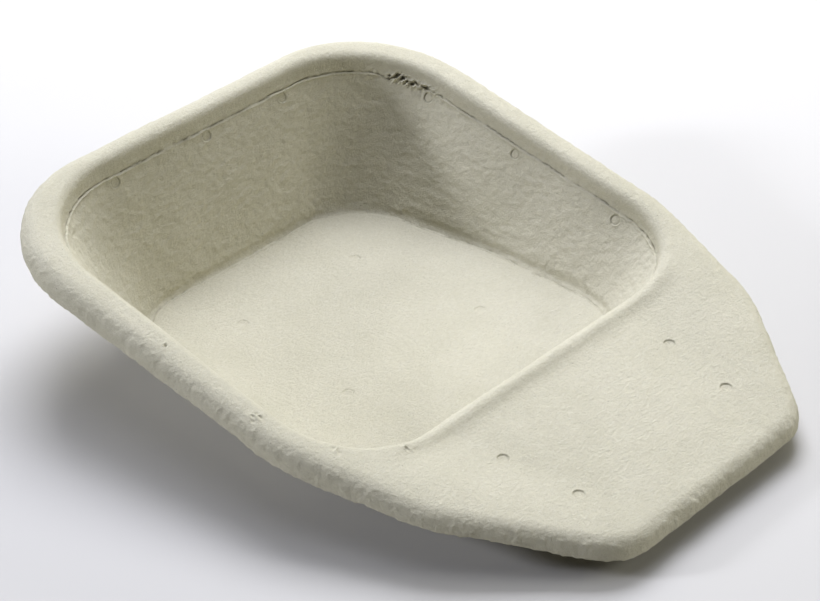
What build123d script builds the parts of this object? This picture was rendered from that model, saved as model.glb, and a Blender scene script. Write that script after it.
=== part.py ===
"""Slipper pan: one moulded pulp shell with a basin, a rolled rim and a low seat ramp.

Millimetres, +Z up. X runs across the pan, and X = 0 is its mirror plane. -Y is the
thin front tip of the ramp, +Y the deep rear end. Z = 0 is the face it stands on.
"""
import os
from math import atan, cos, degrees, exp, radians, tan

from build123d import *

# Shell
WALL = 2.4                 # moulded pulp thickness
FLOOR_FILLET = 5.0         # inside radius where the floor turns into the walls

# Rim plane: the whole rim lies in one plane that falls towards the front tip
RIM_MID_Z = 51.1           # rim height at Y = 0
RIM_SLOPE = 0.187          # rise per unit of Y
OUTER_ROLL = 9.0           # outside radius of the rolled edge
INNER_ROLL = 5.0           # radius where the rim rolls into the basin
SKIRT_DROP = 10.8          # rim plane to the lower edge of the skirt, at Y = 0
SKIRT_EXTRA_SLOPE = 0.019  # the skirt is deeper at the rear

# Outline in plan, right half
REAR_Y = 178.0
TIP_Y = -178.0
REAR_HALF = 145.0
MID_HALF = 142.0
MID_Y = -33.0
SHOULDER = (120.5, -107.0)
TIP_HALF = 66.5
REAR_RADIUS = 70.0
MID_RADIUS = 90.0
SHOULDER_RADIUS = 80.0
TIP_RADIUS = 31.0

# Basin: floor outline, and the seam below the rim where the wall ends
FLOOR_REAR_Y = 137.0
FLOOR_FRONT_Y = -54.0
FLOOR_REAR_HALF = 83.0
FLOOR_MID_HALF = 94.5
FLOOR_MID_Y = 44.0
FLOOR_RADIUS = 34.0
SEAM_REAR_Y = 160.5
SEAM_FRONT_Y = -64.5
SEAM_REAR_HALF = 122.5
SEAM_MID_HALF = 123.5
SEAM_MID_Y = 18.0
SEAM_REAR_RADIUS = 57.0
SEAM_FRONT_RADIUS = 42.0
SEAM_DROP = 9.5            # rim plane to the seam
SEAM_STEP = 0.6            # ledge the seam leaves in the wall
SIDE_RADIUS = 300.0        # gentle bend half-way along each side
BULK_FLOOR_GROW = 1.3      # outside of the floor outline, for an even wall
BULK_SEAM_GROW = 2.8       # outside of the seam outline, for an even wall

# Ramp: a flat seat sunk below the rim plane, with a low ridge along the basin
RAMP_MID_Z = 36.5          # height of the ramp's plane at Y = 0
RAMP_SLOPE = 0.108
RIDGE_Y = -66.0
RIDGE_RISE = 4.2
RIDGE_WIDTH = 7.0
RIDGE_HALF = 96.0
RIDGE_END = 40.0           # length over which each end of the ridge dies away
FADE_Y = -20.0             # rearwards of this the top is the rim plane alone
CREST_HALF = 133.0         # half the distance between the side rims' crests
CREST_TAPER = 0.147        # how fast the crests close in ahead of MID_Y
CREST_CURVE = 0.0026
DISH_START = 0.5           # share of CREST_HALF at which the ramp starts to rise

# Round marks left by the mould's pins
PIN_RADIUS = 2.9
PIN_DEPTH = 0.5
PIN_BELOW_SEAM = 3.5       # seam to the centre of a wall mark
REAR_DRAFT = 19.0          # lean of the rear wall, degrees from upright
SIDE_DRAFT = 35.0          # lean of the side walls
FLOOR_PINS = ((41.0, 92.5), (48.5, 10.5))
RAMP_PINS = ((61.0, -100.5), (54.5, -139.5))
REAR_PINS = (-61.0, 2.0, 57.0)
SIDE_PINS = (111.5, 50.0, -18.5)

# Construction
GRID_X = 8.0               # spacing of the points that the top surface passes through
GRID_Y = 4.0
TOP_HALF_X = 160.0         # half-size of that surface, larger than the part
TOP_HALF_Y = 196.0
REACH = 200.0              # larger than the part, for cutters
THROAT_RISE = 38.0         # how far the throat's cutter reaches above the rim plane
THROAT_GROW = 7.5          # how much wider it is there than at the seam


def rim_z(y):
    return RIM_MID_Z + RIM_SLOPE * y


def ramp_z(y):
    return RAMP_MID_Z + RAMP_SLOPE * y


def ease(u):
    u = min(max(u, 0.0), 1.0)
    return u * u * (3 - 2 * u)


def crest_half(y):
    """Half the distance between the crests of the two side rims."""
    ahead = max(MID_Y - y, 0.0)
    return CREST_HALF - CREST_TAPER * ahead - CREST_CURVE * ahead ** 2


def top_z(x, y):
    """Height of the pan's top before the basin is opened in it."""
    sunk = (rim_z(y) - ramp_z(y)) * ease((FADE_Y - y) / (FADE_Y - RIDGE_Y))
    out = ease((abs(x) / crest_half(y) - DISH_START) / (1 - DISH_START))
    ridge = RIDGE_RISE * exp(-((y - RIDGE_Y) / RIDGE_WIDTH) ** 2)
    ridge *= ease((RIDGE_HALF + RIDGE_END / 2 - abs(x)) / RIDGE_END)
    return rim_z(y) - sunk * (1 - out) + ridge


def steps(low, high, size):
    count = round((high - low) / size)
    return [low + (high - low) * i / count for i in range(count + 1)]


def under_top(drop):
    """Solid below the pan's top, lowered by drop."""
    rows = [
        [Vector(x, y, top_z(x, y) - drop) for y in steps(-TOP_HALF_Y, TOP_HALF_Y, GRID_Y)]
        for x in steps(-TOP_HALF_X, TOP_HALF_X, GRID_X)
    ]
    top = Face.make_surface_from_array_of_points(rows)
    return Solid.extrude(top, Vector(0, 0, -REACH))


def tilted(drop, extra=0.0):
    """Plane parallel to the rim and drop below it, turned further by extra slope."""
    slope = RIM_SLOPE - extra
    tilt = Rotation(degrees(atan(slope)), 0, 0)
    return Plane(Location((0, 0, RIM_MID_Z - drop)) * tilt)


def rounded(corners, radii, stretch=1.0):
    """Mirrored outline through the right-hand corners, each with its own radius."""
    right = [(x, y * stretch) for x, y in corners]
    left = [(-x, y) for x, y in reversed(right)]
    both = dict(zip(right + left, list(radii) + list(reversed(radii))))
    face = make_face(Polyline(*right, *left, close=True))
    for (x, y), radius in both.items():
        spot = face.vertices().sort_by_distance(Vector(x, y, 0))[0]
        face = fillet(spot, radius)
    return face


def outline():
    corners = ((REAR_HALF, REAR_Y), (MID_HALF, MID_Y), SHOULDER, (TIP_HALF, TIP_Y))
    return rounded(corners, (REAR_RADIUS, MID_RADIUS, SHOULDER_RADIUS, TIP_RADIUS))


def floor_outline():
    corners = (
        (FLOOR_REAR_HALF, FLOOR_REAR_Y),
        (FLOOR_MID_HALF, FLOOR_MID_Y),
        (FLOOR_MID_HALF, FLOOR_FRONT_Y),
    )
    return rounded(corners, (FLOOR_RADIUS, SIDE_RADIUS, FLOOR_RADIUS))


def seam_outline(stretch):
    corners = (
        (SEAM_REAR_HALF, SEAM_REAR_Y),
        (SEAM_MID_HALF, SEAM_MID_Y),
        (SEAM_MID_HALF, SEAM_FRONT_Y),
    )
    return rounded(corners, (SEAM_REAR_RADIUS, SIDE_RADIUS, SEAM_FRONT_RADIUS), stretch)


def grown(face, amount):
    return offset(face, amount, kind=Kind.ARC) if amount else face


def basin(floor_level, floor_grow, seam_grow, step):
    """Wall up to the seam, then the short throat that leads to the rim."""
    stretch = 1 / cos(atan(RIM_SLOPE))
    floor = Pos(0, 0, floor_level) * grown(floor_outline(), floor_grow)
    seam = seam_outline(stretch)
    wall_top = tilted(SEAM_DROP) * grown(seam, seam_grow)
    throat_low = tilted(SEAM_DROP) * grown(seam, seam_grow + step)
    throat_high = tilted(-THROAT_RISE) * grown(seam, seam_grow + step + THROAT_GROW)
    wall = loft([floor, wall_top], ruled=True)
    throat = loft([throat_low, throat_high], ruled=True)
    return wall, throat


def cap(inset):
    """The pan's outer bulk under the rolled rim, shrunk inwards by inset."""
    plan = extrude(grown(outline(), -inset), REACH)
    bulk = plan & under_top(inset / cos(atan(RIM_SLOPE)))
    top = bulk.faces().sort_by(Axis.Z)[-1]
    return fillet(top.edges(), OUTER_ROLL - inset)


def below(plane):
    """Everything on the lower side of a plane, as one large block."""
    return plane * Pos(0, 0, -REACH) * Box(4 * REACH, 4 * REACH, 2 * REACH)


def round_mouth(solid, radius):
    """Round the edge where the top surface meets the basin's throat."""
    pierced = [f for f in solid.faces() if f.inner_wires()]
    top = max(pierced, key=lambda f: f.bounding_box().max.Z)
    return fillet(top.inner_wires()[0].edges(), radius)


def basin_hollow():
    wall, throat = basin(WALL, 0.0, 0.0, SEAM_STEP)
    bottom = wall.faces().sort_by(Axis.Z)[0]
    return fillet(bottom.edges(), FLOOR_FILLET) + throat


def basin_bulk():
    wall, throat = basin(0.0, BULK_FLOOR_GROW, BULK_SEAM_GROW, 0.0)
    bottom = wall.faces().sort_by(Axis.Z)[0]
    return fillet(bottom.edges(), FLOOR_FILLET + WALL) + throat


def pin_marks():
    """Shallow round pockets in the floor, the ramp and the wall under the seam."""
    tool = Cylinder(PIN_RADIUS, 2 * PIN_DEPTH)
    spots = [Pos(side * x, y, WALL) for x, y in FLOOR_PINS for side in (-1, 1)]
    lean = Rotation(degrees(atan(RAMP_SLOPE)), 0, 0)
    spots += [Pos(side * x, y, top_z(x, y)) * lean for x, y in RAMP_PINS for side in (-1, 1)]
    rear_lean = Rotation(90 - REAR_DRAFT, 0, 0)
    low = rim_z(SEAM_REAR_Y) - SEAM_DROP - PIN_BELOW_SEAM
    back = SEAM_REAR_Y - PIN_BELOW_SEAM * tan(radians(REAR_DRAFT))
    spots += [Pos(x, back, low) * rear_lean for x in REAR_PINS]
    for y in SIDE_PINS:
        low = rim_z(y) - SEAM_DROP - PIN_BELOW_SEAM
        out = SEAM_REAR_HALF - PIN_BELOW_SEAM * tan(radians(SIDE_DRAFT))
        for side in (-1, 1):
            spots.append(Pos(side * out, y, low) * Rotation(0, side * (SIDE_DRAFT - 90), 0))
    return [spot * tool for spot in spots]


def shell():
    bulk = basin_bulk()
    outer = cap(0.0)
    body = outer - below(tilted(SKIRT_DROP, SKIRT_EXTRA_SLOPE)) + (bulk & outer)
    body = round_mouth(body - basin_hollow(), INNER_ROLL)
    ring = round_mouth(cap(WALL) - bulk, INNER_ROLL - WALL)
    return body - ring - pin_marks()


if __name__ == "__main__":
    os.makedirs("parts", exist_ok=True)
    export_step(shell(), "parts/pulp_pan.step")
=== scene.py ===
"""Slipper pan in moulded pulp: one felted, fibrous shell on a pale studio floor.

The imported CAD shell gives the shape. It is remeshed evenly, its rolled rim is eased, and
the lumps, seams, pin marks, torn flash and dents of moulded pulp are laid on as relief.
"""
import math

import bmesh
import bpy
import numpy as np
from mathutils import Euler, Matrix, Vector


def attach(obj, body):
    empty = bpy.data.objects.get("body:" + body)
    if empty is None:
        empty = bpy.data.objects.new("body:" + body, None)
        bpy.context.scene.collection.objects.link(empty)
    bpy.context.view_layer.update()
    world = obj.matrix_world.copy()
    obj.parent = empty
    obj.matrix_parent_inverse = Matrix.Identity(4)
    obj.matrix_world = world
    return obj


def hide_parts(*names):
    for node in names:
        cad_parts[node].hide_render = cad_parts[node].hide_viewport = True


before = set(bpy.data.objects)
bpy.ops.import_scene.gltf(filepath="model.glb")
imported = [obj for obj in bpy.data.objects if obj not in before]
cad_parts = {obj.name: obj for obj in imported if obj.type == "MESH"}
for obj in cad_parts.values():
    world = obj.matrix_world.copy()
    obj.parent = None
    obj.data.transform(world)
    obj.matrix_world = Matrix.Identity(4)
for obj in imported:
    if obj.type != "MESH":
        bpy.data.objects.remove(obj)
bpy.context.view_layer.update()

# Shape facts shared with the CAD source, in millimetres
RIM_MID_Z = 51.1           # rim plane at Y = 0
RIM_SLOPE = 0.187
SEAM_DROP = 9.5            # rim plane to the seam in the basin's wall
SKIRT_DROP = 10.8          # rim plane to the skirt's lower edge, at Y = 0
SKIRT_EXTRA_SLOPE = 0.019  # the skirt is deeper at the rear
SEAM_FRONT_Y = -64.5
FLOOR_CORNERS = ((83.0, 137.0, 34.0), (94.5, 44.0, 300.0), (94.5, -54.0, 34.0))
OUTLINE = ((145.0, 178.0), (142.0, -33.0), (120.5, -107.0), (66.5, -178.0))
RAMP_MID_Z = 36.5
RAMP_SLOPE = 0.108
PIN_RADIUS = 2.9
PIN_BELOW_SEAM = 3.5
FLOOR_PINS = ((41.0, 92.5), (48.5, 10.5))
RAMP_PINS = ((61.0, -100.5), (54.5, -139.5))
REAR_PINS = ((-61.0, 159.5), (2.0, 159.5), (57.0, 159.5))
SIDE_PINS = ((120.5, 111.5), (120.5, 50.0), (120.5, -18.5))

# Damage and moulding faults: place in plan and reach, in millimetres
NICKS = ((-133.3, 43.3, 1.6), (-134.3, -16.6, 2.6), (-120.3, -54.0, 2.2), (-92.5, -69.4, 2.4))
EDGE_NOTCHES = ((-143.9, -11.5, 1.3, 3.0), (-128.0, -78.0, 1.0, 2.5), (-145.0, 76.0, -0.9, 4.0))
FLASH_FRONT_Y = 84.0       # torn flash on the right-hand seam, between these
FLASH_REAR_Y = 152.0
FLASH_THICK_Y = 126.0      # where it is thickest

TIP_SAG = 1.9              # how far the skirt's edge hangs below the CAD edge at the tip
TIP_START_Y = -125.0
TIP_REACH = 30.0
WAIST_SAG = 2.6            # and beside the front of the basin
WAIST_Y = -48.0
WAIST_REACH = 42.0

# Relief at the mould's joints: how deep or how proud
SEAM_GROOVE = 1.15
SEAM_LIP = 0.60
CREASE_GROOVE = 0.62
CREASE_RIDGE = 0.75
FOOT_CUT = 1.3
FLASH_PROUD = 1.8

VOXEL = 0.85               # mesh pitch
FINE_CUTS = 2              # extra cuts across each edge near seams, marks and nicks
GROOVE_SHADE_NAME = "painted_groove_shade"          # name of the attribute for painted shade, 1 in grooves and tears
SHADE_START = 0.28        # depth at which the painted shade in a groove begins
SHADE_SPREAD = 0.7         # further depth over which the painted shade reaches its darkest
TABLE_SIZE = 61            # random values along each side of a noise table
TURNED_GRID = np.array(Euler((0.6, 0.9, 0.4)).to_matrix())   # keeps its rows off the axes
MM = 0.001


def ease(u):
    u = np.clip(u, 0.0, 1.0)
    return u * u * (3 - 2 * u)


def bump(distance, width):
    return np.exp(-(distance / width) ** 2)


def noise(points, size, seed):
    """Smooth random values from -1 to 1; size is a lump's width along each axis."""
    table = np.random.default_rng(seed).uniform(-1, 1, (TABLE_SIZE,) * 3)
    place = (points / np.asarray(size, float)) @ TURNED_GRID
    cell = np.floor(place).astype(int)
    part = ease(place - cell)
    total = np.zeros(len(points))
    for corner in np.ndindex(2, 2, 2):
        index = (cell + corner) % TABLE_SIZE
        weight = np.prod(np.where(corner, part, 1 - part), axis=1)
        total += weight * table[index[:, 0], index[:, 1], index[:, 2]]
    return total


def even_mesh():
    """The CAD shell rebuilt with quads of one size, so that relief can be laid on it."""
    copy = bpy.data.objects.new("even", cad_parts["pulp_pan"].data.copy())
    bpy.context.scene.collection.objects.link(copy)
    remesh = copy.modifiers.new("even", "REMESH")
    remesh.mode = "VOXEL"
    remesh.voxel_size = VOXEL * MM
    graph = bpy.context.evaluated_depsgraph_get()
    mesh = bpy.data.meshes.new_from_object(copy.evaluated_get(graph))
    bpy.data.objects.remove(copy)
    return mesh


def read(mesh):
    """Vertex places in millimetres, and the pairs of vertices that an edge joins."""
    count = len(mesh.vertices)
    places = np.zeros(count * 3, np.float32)
    mesh.vertices.foreach_get("co", places)
    pairs = np.zeros(len(mesh.edges) * 2, np.int32)
    mesh.edges.foreach_get("vertices", pairs)
    return places.reshape(-1, 3).astype(float) / MM, pairs.reshape(-1, 2)


def write(mesh, places):
    mesh.vertices.foreach_set("co", (places * MM).astype(np.float32).ravel())
    mesh.update()


def normals_of(mesh, places):
    write(mesh, places)
    values = np.zeros(len(places) * 3, np.float32)
    mesh.vertex_normals.foreach_get("vector", values)
    return values.reshape(-1, 3).astype(float)


def eased(places, pairs, share, rounds):
    """Each vertex moves towards the middle of its neighbours, by its own share."""
    a, b = pairs.T
    count = np.bincount(pairs.ravel(), minlength=len(places))[:, None]
    for _ in range(rounds):
        total = np.zeros_like(places)
        for axis in range(3):
            total[:, axis] += np.bincount(a, places[b, axis], len(places))
            total[:, axis] += np.bincount(b, places[a, axis], len(places))
        places = places + share[:, None] * (total / count - places)
    return places


def rim_drop(p):
    """How far below the rim plane each point lies."""
    return RIM_MID_Z + RIM_SLOPE * p[:, 1] - p[:, 2]


def inward(p, n):
    """1 where a surface faces the middle of the pan, -1 where it faces away."""
    middle = np.clip(p[:, 1], -120.0, 90.0)
    across = np.stack([-p[:, 0], middle - p[:, 1]], axis=1)
    across[:, 1] += np.where(p[:, 1] < -20, 1.0, 0.0)
    length = np.maximum(np.linalg.norm(across, axis=1), 1e-6)
    return (across * n[:, :2]).sum(1) / length


def regions(p, n):
    """Weights from 0 to 1 for the parts of the shell that have their own texture."""
    up = ease((n[:, 2] + 0.05) / 0.3)
    facing = inward(p, n)
    drop = rim_drop(p)
    basin = ease((p[:, 1] + 70) / 8)
    wall = ease((facing - 0.25) / 0.3) * basin * ease((drop - 4) / 4)
    skirt = ease((-facing - 0.35) / 0.3) * ease((16 - drop) / 3)
    return {"up": up, "wall": wall, "skirt": skirt, "drop": drop, "facing": facing}


def felt(p, zone):
    """Lumps and hollows of felted pulp: soft on the flats, coarse on walls and skirt."""
    wide = noise(p, 30.0, 1) * 0.25 + noise(p, 13.0, 2) * 0.12
    fine = noise(p, 3.4, 3) * 0.05 + noise(p, 1.9, 4) * 0.05
    along = noise(p, (5.0, 5.0, 3.2), 5) * 0.15 + noise(p, (2.6, 2.6, 1.9), 6) * 0.25
    fuzz = noise(p, 2.6, 7) * 0.24 + noise(p, 1.7, 8) * 0.20 + noise(p, 6.0, 9) * 0.18
    return wide + fine + zone["wall"] * along + zone["skirt"] * fuzz


def rounded_distance(p, corners):
    """Distance to a mirrored outline through rounded corners, less than 0 inside it."""
    x = np.abs(p[:, 0])
    y = p[:, 1]
    (x0, y0, r0), (x1, y1, _), (_, y2, r2) = corners
    along = np.clip((y0 - y) / (y0 - y1), 0, 1)
    side = x - (x0 + (x1 - x0) * along)
    rear = y - y0
    front = y2 - y
    far = np.maximum(rear, front)
    radius = np.where(rear > front, r0, r2)
    inside = np.minimum(np.maximum(side, far), 0.0)
    corner = np.hypot(np.maximum(side + radius, 0), np.maximum(far + radius, 0)) - radius
    return np.where((side > -radius) & (far > -radius), corner, inside)


def outline_distance(p):
    """Distance to the pan's outline in plan, less than 0 inside it; corners are sharp."""
    x = np.abs(p[:, 0])
    y = p[:, 1]
    found = np.maximum(y - OUTLINE[0][1], OUTLINE[-1][1] - y)
    for (x0, y0), (x1, y1) in zip(OUTLINE, OUTLINE[1:]):
        length = math.hypot(x1 - x0, y1 - y0)
        found = np.maximum(found, ((x - x0) * (y0 - y1) + (y - y0) * (x1 - x0)) / length)
    return found


def pins():
    """Centres of the round marks that the mould's pins left, each with its extra depth."""
    seam_low = RIM_MID_Z - SEAM_DROP - PIN_BELOW_SEAM
    for side in (-1, 1):
        for x, y in FLOOR_PINS:
            yield (side * x, y, 2.0), 0.05
        for x, y in RAMP_PINS:
            yield (side * x, y, RAMP_MID_Z + RAMP_SLOPE * y), 0.22
        for x, y in SIDE_PINS:
            yield (side * x, y, seam_low + RIM_SLOPE * y), 0.30
    for x, y in REAR_PINS:
        yield (x, y, seam_low + RIM_SLOPE * y), 0.25


def pin_marks(p):
    total = np.zeros(len(p))
    for centre, depth in pins():
        reach = np.linalg.norm(p - centre, axis=1)
        total -= depth * ease((PIN_RADIUS - reach) / 0.5)
        total += (depth + 0.15) * 0.4 * bump(reach - PIN_RADIUS - 0.4, 0.4)
        total -= (depth + 0.20) * 0.7 * bump(reach - PIN_RADIUS + 0.4, 0.35)
    return total


def seam_level(p):
    """Height above the rim seam, with the small wander of a moulded line."""
    wander = noise(p, 9.0, 11) * 0.30 + noise(p, 2.6, 12) * 0.25 + noise(p, 1.3, 15) * 0.18
    return SEAM_DROP - rim_drop(p) + wander


def in_basin(p, zone):
    return ease((zone["facing"] - 0.15) / 0.2) * ease((p[:, 1] - SEAM_FRONT_Y + 1) / 6)


def seams(p, zone):
    """Lines where the mould's parts met: a groove with a lip under the rim, and the crease
    round the floor with the small ridges of pushed-up pulp beside it."""
    level = seam_level(p)
    patchy = np.clip(0.65 + 0.45 * noise(p, 5.0, 13) + 0.4 * noise(p, 1.7, 16), 0.15, 1.3)
    rim = (bump(level + 0.9, 0.42) * SEAM_LIP - bump(level, 0.36) * SEAM_GROOVE) * patchy
    crease = rounded_distance(p, FLOOR_CORNERS) + noise(p, 6.0, 14) * 0.5
    low = ease((8 - p[:, 2]) / 3) * zone["up"] * ease((p[:, 1] + 56) / 12)
    floor = bump(crease + 2.3, 0.5) * CREASE_RIDGE - bump(crease + 1.3, 0.4) * CREASE_GROOVE
    return rim * in_basin(p, zone) + floor * low * patchy


def foot(p, zone):
    """Takes up the fillet at the foot of the basin's wall, to leave a sharper corner."""
    crease = rounded_distance(p, FLOOR_CORNERS)
    return -FOOT_CUT * bump(np.hypot(crease + 0.7, p[:, 2] - 3.3), 2.1) * zone["up"]


def flash(p, zone):
    """Torn, folded pulp squeezed out at the seam in the rear right corner."""
    y = p[:, 1]
    rise = ease((y - FLASH_FRONT_Y) / (FLASH_THICK_Y - FLASH_FRONT_Y))
    fall = ease((FLASH_REAR_Y - y) / (FLASH_REAR_Y - FLASH_THICK_Y))
    share = rise ** 2 * fall * (p[:, 0] > 90)
    crumple = 1 - 2.4 * np.abs(noise(p, (3.4, 3.4, 1.8), 21))
    crumple += 0.6 - 1.6 * np.abs(noise(p, 1.5, 22))
    band = bump(seam_level(p) - 0.8 * noise(p, 6.0, 23), 1.9)
    torn = np.clip(0.75 + 0.8 * noise(p, 6.5, 24), 0.1, 1.3)
    return FLASH_PROUD * share * torn * band * crumple * in_basin(p, zone)


def nicks(p, zone):
    """Small pinched dents in the rim, each with a crumpled lip."""
    total = np.zeros(len(p))
    crumple = 1 - 2.4 * np.abs(noise(p, (2.0, 3.0, 2.0), 31))
    for x, y, reach in NICKS:
        away = np.hypot(p[:, 0] - x, p[:, 1] - y)
        total += reach * (0.46 * crumple * bump(away, reach) - 0.24 * bump(away, 0.8 * reach))
    return total * ease((8 - zone["drop"]) / 3) * zone["up"]


def ragged(p):
    """Lift of the skirt's lower edge: torn and uneven, and lower at the tip and the waist."""
    above = SKIRT_DROP + SKIRT_EXTRA_SLOPE * p[:, 1] - rim_drop(p)
    share = ease((5 - above) / 4.5) * ease((outline_distance(p) + 11) / 3)
    lift = 0.45 * noise(p, (9.0, 9.0, 60.0), 41) + 0.38 * noise(p, (2.4, 2.4, 60.0), 42)
    tip = TIP_SAG * ease((TIP_START_Y - p[:, 1]) / TIP_REACH)
    lift -= tip + WAIST_SAG * bump(p[:, 1] - WAIST_Y, WAIST_REACH)
    for x, y, height, reach in EDGE_NOTCHES:
        lift += height * bump(np.hypot(p[:, 0] - x, p[:, 1] - y), reach)
    return share * lift


def near_detail(p, n):
    """True where the relief is finer than the even mesh can hold."""
    zone = regions(p, n)
    seam = (np.abs(SEAM_DROP - zone["drop"]) < 2.6) & (in_basin(p, zone) > 0.3)
    seam &= rounded_distance(p, FLOOR_CORNERS) > 4
    crease = (np.abs(rounded_distance(p, FLOOR_CORNERS)) < 3.4) & (p[:, 2] < 8)
    chosen = seam | (crease & (zone["up"] > 0.5) & (p[:, 1] > -50))
    for centre, _ in pins():
        chosen |= (np.linalg.norm(p - centre, axis=1) < 4.6) & (zone["up"] > 0.3)
    for x, y, reach in NICKS:
        chosen |= (np.hypot(p[:, 0] - x, p[:, 1] - y) < 2.6 * reach) & (zone["up"] > 0.5)
    torn = (p[:, 1] > FLASH_FRONT_Y) & (p[:, 1] < FLASH_REAR_Y) & (p[:, 0] > 90)
    return chosen | (torn & (np.abs(SEAM_DROP - zone["drop"]) < 5) & (in_basin(p, zone) > 0.3))


def refine(mesh):
    """Cuts the faces near fine detail into smaller ones."""
    count = len(mesh.polygons)
    middles = np.zeros(count * 3, np.float32)
    mesh.polygons.foreach_get("center", middles)
    facing = np.zeros(count * 3, np.float32)
    mesh.polygons.foreach_get("normal", facing)
    chosen = near_detail(middles.reshape(-1, 3) / MM, facing.reshape(-1, 3).astype(float))
    work = bmesh.new()
    work.from_mesh(mesh)
    work.faces.ensure_lookup_table()
    edges = {e for i in np.flatnonzero(chosen) for e in work.faces[i].edges}
    bmesh.ops.subdivide_edges(work, edges=list(edges), cuts=FINE_CUTS, use_grid_fill=True)
    work.to_mesh(mesh)
    work.free()


def relief(p, n):
    """How far each point stands proud of the smooth shape, and how much of that is detail."""
    zone = regions(p, n)
    detail = seams(p, zone) + flash(p, zone) + nicks(p, zone) + pin_marks(p) * zone["up"]
    return felt(p, zone) * (0.35 + 0.65 * zone["up"]) + foot(p, zone) + detail, detail


def add(tree, kind, inputs=(), **settings):
    """A new shader node with its inputs set, by value or by a link from a socket."""
    node = tree.nodes.new(kind)
    for name, value in settings.items():
        setattr(node, name, value)
    for name, value in dict(inputs).items():
        if isinstance(value, bpy.types.NodeSocket):
            tree.links.new(value, node.inputs[name])
        else:
            node.inputs[name].default_value = value
    return node


def cloud(tree, place, scale, detail, rough=0.6):
    """Soft random values, scale lumps to the metre."""
    inputs = {"Vector": place, "Scale": scale, "Detail": detail, "Roughness": rough}
    return add(tree, "ShaderNodeTexNoise", inputs).outputs["Fac"]


def span(tree, value, low, high, out_low=0.0, out_high=1.0):
    """Stretches low to high over the range out_low to out_high, and clips to it."""
    inputs = {
        "Value": value,
        "From Min": low,
        "From Max": high,
        "To Min": out_low,
        "To Max": out_high,
    }
    return add(tree, "ShaderNodeMapRange", inputs).outputs["Result"]


def combined(tree, first, second, operation="ADD"):
    return add(tree, "ShaderNodeMath", {0: first, 1: second}, operation=operation).outputs[0]


FIBRE_TURNS = (
    (0.3, 0.2, 0.1),
    (0.1, 0.4, 1.2),
    (0.5, -0.3, 2.1),
    (1.1, 0.6, 0.6),
    (-0.4, 1.2, 2.7),
)
FIBRE_SCALE = (330.0, 2600.0, 2600.0)   # per metre along and across a thread


def fibres(tree, place):
    """Threads of pulp in several directions, 1 on a thread and 0 between them."""
    found = None
    for turn in FIBRE_TURNS:
        inputs = {"Vector": place, "Rotation": turn, "Scale": FIBRE_SCALE}
        turned = add(tree, "ShaderNodeMapping", inputs).outputs["Vector"]
        thread = span(tree, cloud(tree, turned, 1.0, 1.5), 0.60, 0.74)
        found = thread if found is None else combined(tree, found, thread, "MAXIMUM")
    return found


def specks(tree, place, per_metre, radius, share):
    """Small grains in some of the cells, 1 on a grain and 0 elsewhere."""
    cells = add(tree, "ShaderNodeTexVoronoi", {"Vector": place, "Scale": per_metre})
    grain = span(tree, cells.outputs["Distance"], radius, radius * 0.6)
    parts = add(tree, "ShaderNodeSeparateColor", {"Color": cells.outputs["Color"]})
    kept = span(tree, parts.outputs["Red"], share, share - 0.02)
    return combined(tree, grain, kept, "MULTIPLY")


MIX_SHARE, MIX_FIRST, MIX_SECOND, MIX_RESULT = 0, 6, 7, 2   # the node's sockets for colours


def mix(tree, share, first, second):
    """The first colour, with a share of the second."""
    node = add(tree, "ShaderNodeMix", data_type="RGBA")
    for index, value in ((MIX_SHARE, share), (MIX_FIRST, first), (MIX_SECOND, second)):
        if isinstance(value, bpy.types.NodeSocket):
            tree.links.new(value, node.inputs[index])
        else:
            node.inputs[index].default_value = value
    return node.outputs[MIX_RESULT]


PULP_DARKER = (0.568, 0.538, 0.395, 1)
PULP_LIGHTER = (0.610, 0.578, 0.432, 1)
PULP_HOLLOW = (0.36, 0.335, 0.235, 1)
FIBRE = (0.74, 0.73, 0.63, 1)
SPECK = (0.16, 0.13, 0.09, 1)
# painted shade colour for grooves, seams, pin marks and tears
GROOVE_SHADE = (0.20, 0.18, 0.12, 1)


def pulp_material():
    """Matt recycled pulp: warm grey-beige, with fibres, mottling and small dark specks, and
    shade painted into its grooves.
    """
    material = bpy.data.materials.new("moulded_pulp")
    material.use_nodes = True
    tree = material.node_tree
    shader = tree.nodes["Principled BSDF"]
    place = add(tree, "ShaderNodeTexCoord").outputs["Object"]
    thread = fibres(tree, place)
    blotch = span(tree, cloud(tree, place, 28.0, 3.0), 0.35, 0.65)
    mottle = span(tree, cloud(tree, place, 420.0, 4.0, 0.7), 0.32, 0.68)
    grain = cloud(tree, place, 1500.0, 3.0, 0.7)
    colour = mix(tree, blotch, PULP_DARKER, PULP_LIGHTER)
    shade = span(tree, mottle, 0.0, 1.0, 0.22, 0.0)
    colour = mix(tree, shade, colour, PULP_HOLLOW)
    bright = span(tree, thread, 0.0, 1.0, 0.0, 0.35)
    colour = mix(tree, bright, colour, FIBRE)
    dark = combined(tree, specks(tree, place, 230.0, 0.075, 0.30), 0.55, "MULTIPLY")
    colour = mix(tree, dark, colour, SPECK)
    # painted shade: darker in the grooves and tears that the attribute marks
    groove = add(tree, "ShaderNodeAttribute", attribute_name=GROOVE_SHADE_NAME).outputs["Fac"]
    groove = combined(tree, groove, 0.6, "MULTIPLY")
    colour = mix(tree, groove, colour, GROOVE_SHADE)
    tree.links.new(colour, shader.inputs["Base Color"])
    lumps = cloud(tree, place, 800.0, 3.0, 0.6)
    height = combined(tree, grain, 0.5, "MULTIPLY")
    for layer, share in ((mottle, 0.5), (lumps, 0.9), (thread, 0.30)):
        height = combined(tree, height, combined(tree, layer, share, "MULTIPLY"))
    bumped = add(tree, "ShaderNodeBump", {"Height": height, "Strength": 0.8, "Distance": 0.0006})
    tree.links.new(bumped.outputs["Normal"], shader.inputs["Normal"])
    rough = span(tree, grain, 0.3, 0.7, 0.98, 0.86)
    tree.links.new(rough, shader.inputs["Roughness"])
    shader.inputs["Specular IOR Level"].default_value = 0.25
    return material


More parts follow.
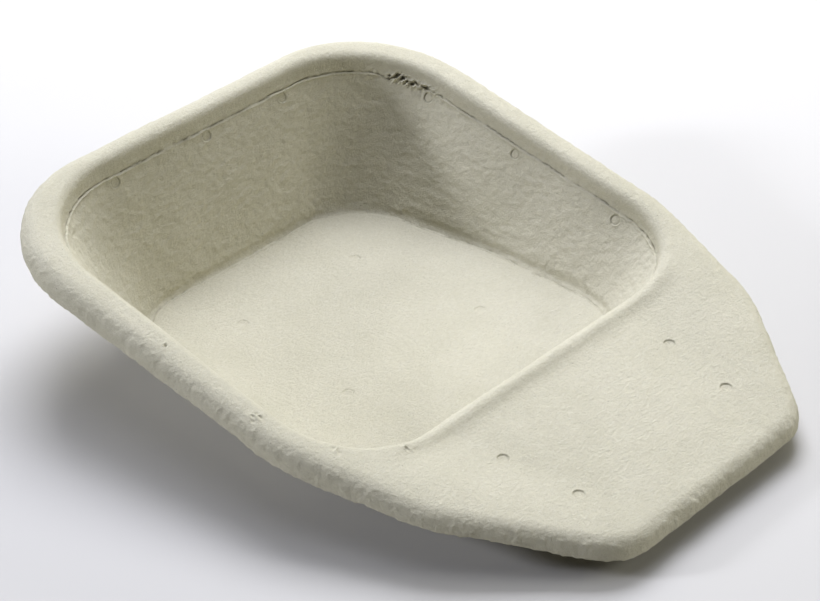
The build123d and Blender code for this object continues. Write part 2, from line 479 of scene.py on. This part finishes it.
def shell():
    """The pan: an even mesh with a softened rim, refined where needed, with its relief."""
    mesh = even_mesh()
    places, pairs = read(mesh)
    places = eased(places, pairs, np.full(len(places), 0.5), 3)
    zone = regions(places, normals_of(mesh, places))
    soft = ease((SEAM_DROP - 1.5 - zone["drop"]) / 2.5) * ease((places[:, 1] + 75) / 20)
    places = eased(places, pairs, 0.6 * soft * zone["up"], 2)
    write(mesh, places)
    refine(mesh)
    places, pairs = read(mesh)
    places = eased(places, pairs, np.full(len(places), 0.5), 2)
    normals = normals_of(mesh, places)
    lift = ragged(places)
    proud, detail = relief(places, normals)
    places = places + proud[:, None] * normals
    places[:, 2] += lift
    write(mesh, places)
    # painted shade for the material: 1 where the relief is cut deepest
    painted_groove_shade = mesh.attributes.new(GROOVE_SHADE_NAME, "FLOAT", "POINT")
    deep = ease((-detail - SHADE_START) / SHADE_SPREAD)
    painted_groove_shade.data.foreach_set("value", deep.astype(np.float32))
    mesh.shade_smooth()
    mesh.materials.clear()
    mesh.materials.append(pulp_material())
    piece = bpy.data.objects.new("pulp_shell", mesh)
    bpy.context.scene.collection.objects.link(piece)
    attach(piece, "root")
    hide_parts("pulp_pan")


STAGE_HALF = 6.0           # metres
STAGE_GAP = 0.0003         # keeps the floor clear of the pan's underside
STAGE_COLOUR = (0.57, 0.557, 0.515, 1)


def studio_floor():
    """A plain pale floor under the pan."""
    mesh = bpy.data.meshes.new("studio_floor")
    half = STAGE_HALF
    corners = [(-half, -half, 0), (half, -half, 0), (half, half, 0), (-half, half, 0)]
    mesh.from_pydata(corners, [], [(0, 1, 2, 3)])
    plane = bpy.data.objects.new("studio_floor", mesh)
    bpy.context.scene.collection.objects.link(plane)
    plane.location.z = -STAGE_GAP
    material = bpy.data.materials.new("studio_white")
    material.use_nodes = True
    shader = material.node_tree.nodes["Principled BSDF"]
    shader.inputs["Base Color"].default_value = STAGE_COLOUR
    shader.inputs["Roughness"].default_value = 0.9
    mesh.materials.append(material)


def towards(azimuth, elevation):
    """Direction from the pan to a lamp or the camera; azimuth 0 is at -Y and 90 at +X."""
    a, e = math.radians(azimuth), math.radians(elevation)
    return Vector((math.sin(a) * math.cos(e), -math.cos(a) * math.cos(e), math.sin(e)))


def area_light(name, azimuth, elevation, distance, size, power, colour):
    """A soft box that looks at the pan."""
    light = bpy.data.lights.new(name, "AREA")
    light.shape = "RECTANGLE"
    light.size, light.size_y = size
    light.energy = power
    light.color = colour
    lamp = bpy.data.objects.new(name, light)
    back = towards(azimuth, elevation)
    lamp.location = back * distance
    lamp.rotation_mode = "QUATERNION"
    lamp.rotation_quaternion = back.to_track_quat("Z", "Y")
    bpy.context.scene.collection.objects.link(lamp)


COOL = (0.975, 1.0, 1.15)
WARM = (1.0, 0.985, 0.88)
WORLD_STRENGTH = 0.02

# Soft boxes: azimuth and elevation in degrees, distance and size in metres, power in watts
SOFT_BOXES = {
    "key": (-131, 23.5, 2.5, (0.3, 0.3), 28.5, COOL),
    "top": (150, 85, 1.8, (1.4, 1.4), 8.5, COOL),
    "rear_high": (133, 55, 1.8, (1.2, 0.9), 38.5, COOL),
    "right": (43, 25, 1.8, (0.8, 0.5), 9.0, WARM),
    "right_rear": (118, 24, 1.8, (0.8, 0.5), 8.0, WARM),
}


def studio_lights():
    """The soft boxes and a faint even glow from all round."""
    for name, settings in SOFT_BOXES.items():
        area_light(name, *settings)
    world = bpy.data.worlds.new("studio")
    world.use_nodes = True
    background = world.node_tree.nodes["Background"]
    background.inputs["Color"].default_value = (1, 1, 1, 1)
    background.inputs["Strength"].default_value = WORLD_STRENGTH
    bpy.context.scene.world = world


# Metres, degrees and, for the lens and the sensor, millimetres
CAMERA_TARGET = Vector((0.0306, 0.0429, 0.0023))
CAMERA_AZIMUTH = -46.48
CAMERA_ELEVATION = 33.67
CAMERA_ROLL = -1.08
CAMERA_DISTANCE = 1.236
CAMERA_LENS = 105.37
CAMERA_SENSOR = 36.0


def camera():
    """A long lens from the front left and above, rolled a little about its own axis."""
    back = towards(CAMERA_AZIMUTH, CAMERA_ELEVATION)
    level = Vector((0, 0, 1)).cross(back).normalized()
    turn = Matrix.Rotation(math.radians(CAMERA_ROLL), 3, back)
    right = turn @ level
    up = back.cross(right)
    data = bpy.data.cameras.new("camera")
    data.lens = CAMERA_LENS
    data.sensor_width = CAMERA_SENSOR
    eye = bpy.data.objects.new("camera", data)
    eye.matrix_world = Matrix.Translation(CAMERA_TARGET + back * CAMERA_DISTANCE) @ Matrix(
        (right, up, back)
    ).transposed().to_4x4()
    bpy.context.scene.collection.objects.link(eye)
    bpy.context.scene.camera = eye


shell()
studio_floor()
studio_lights()
camera()
bpy.context.scene.view_settings.view_transform = "Standard"
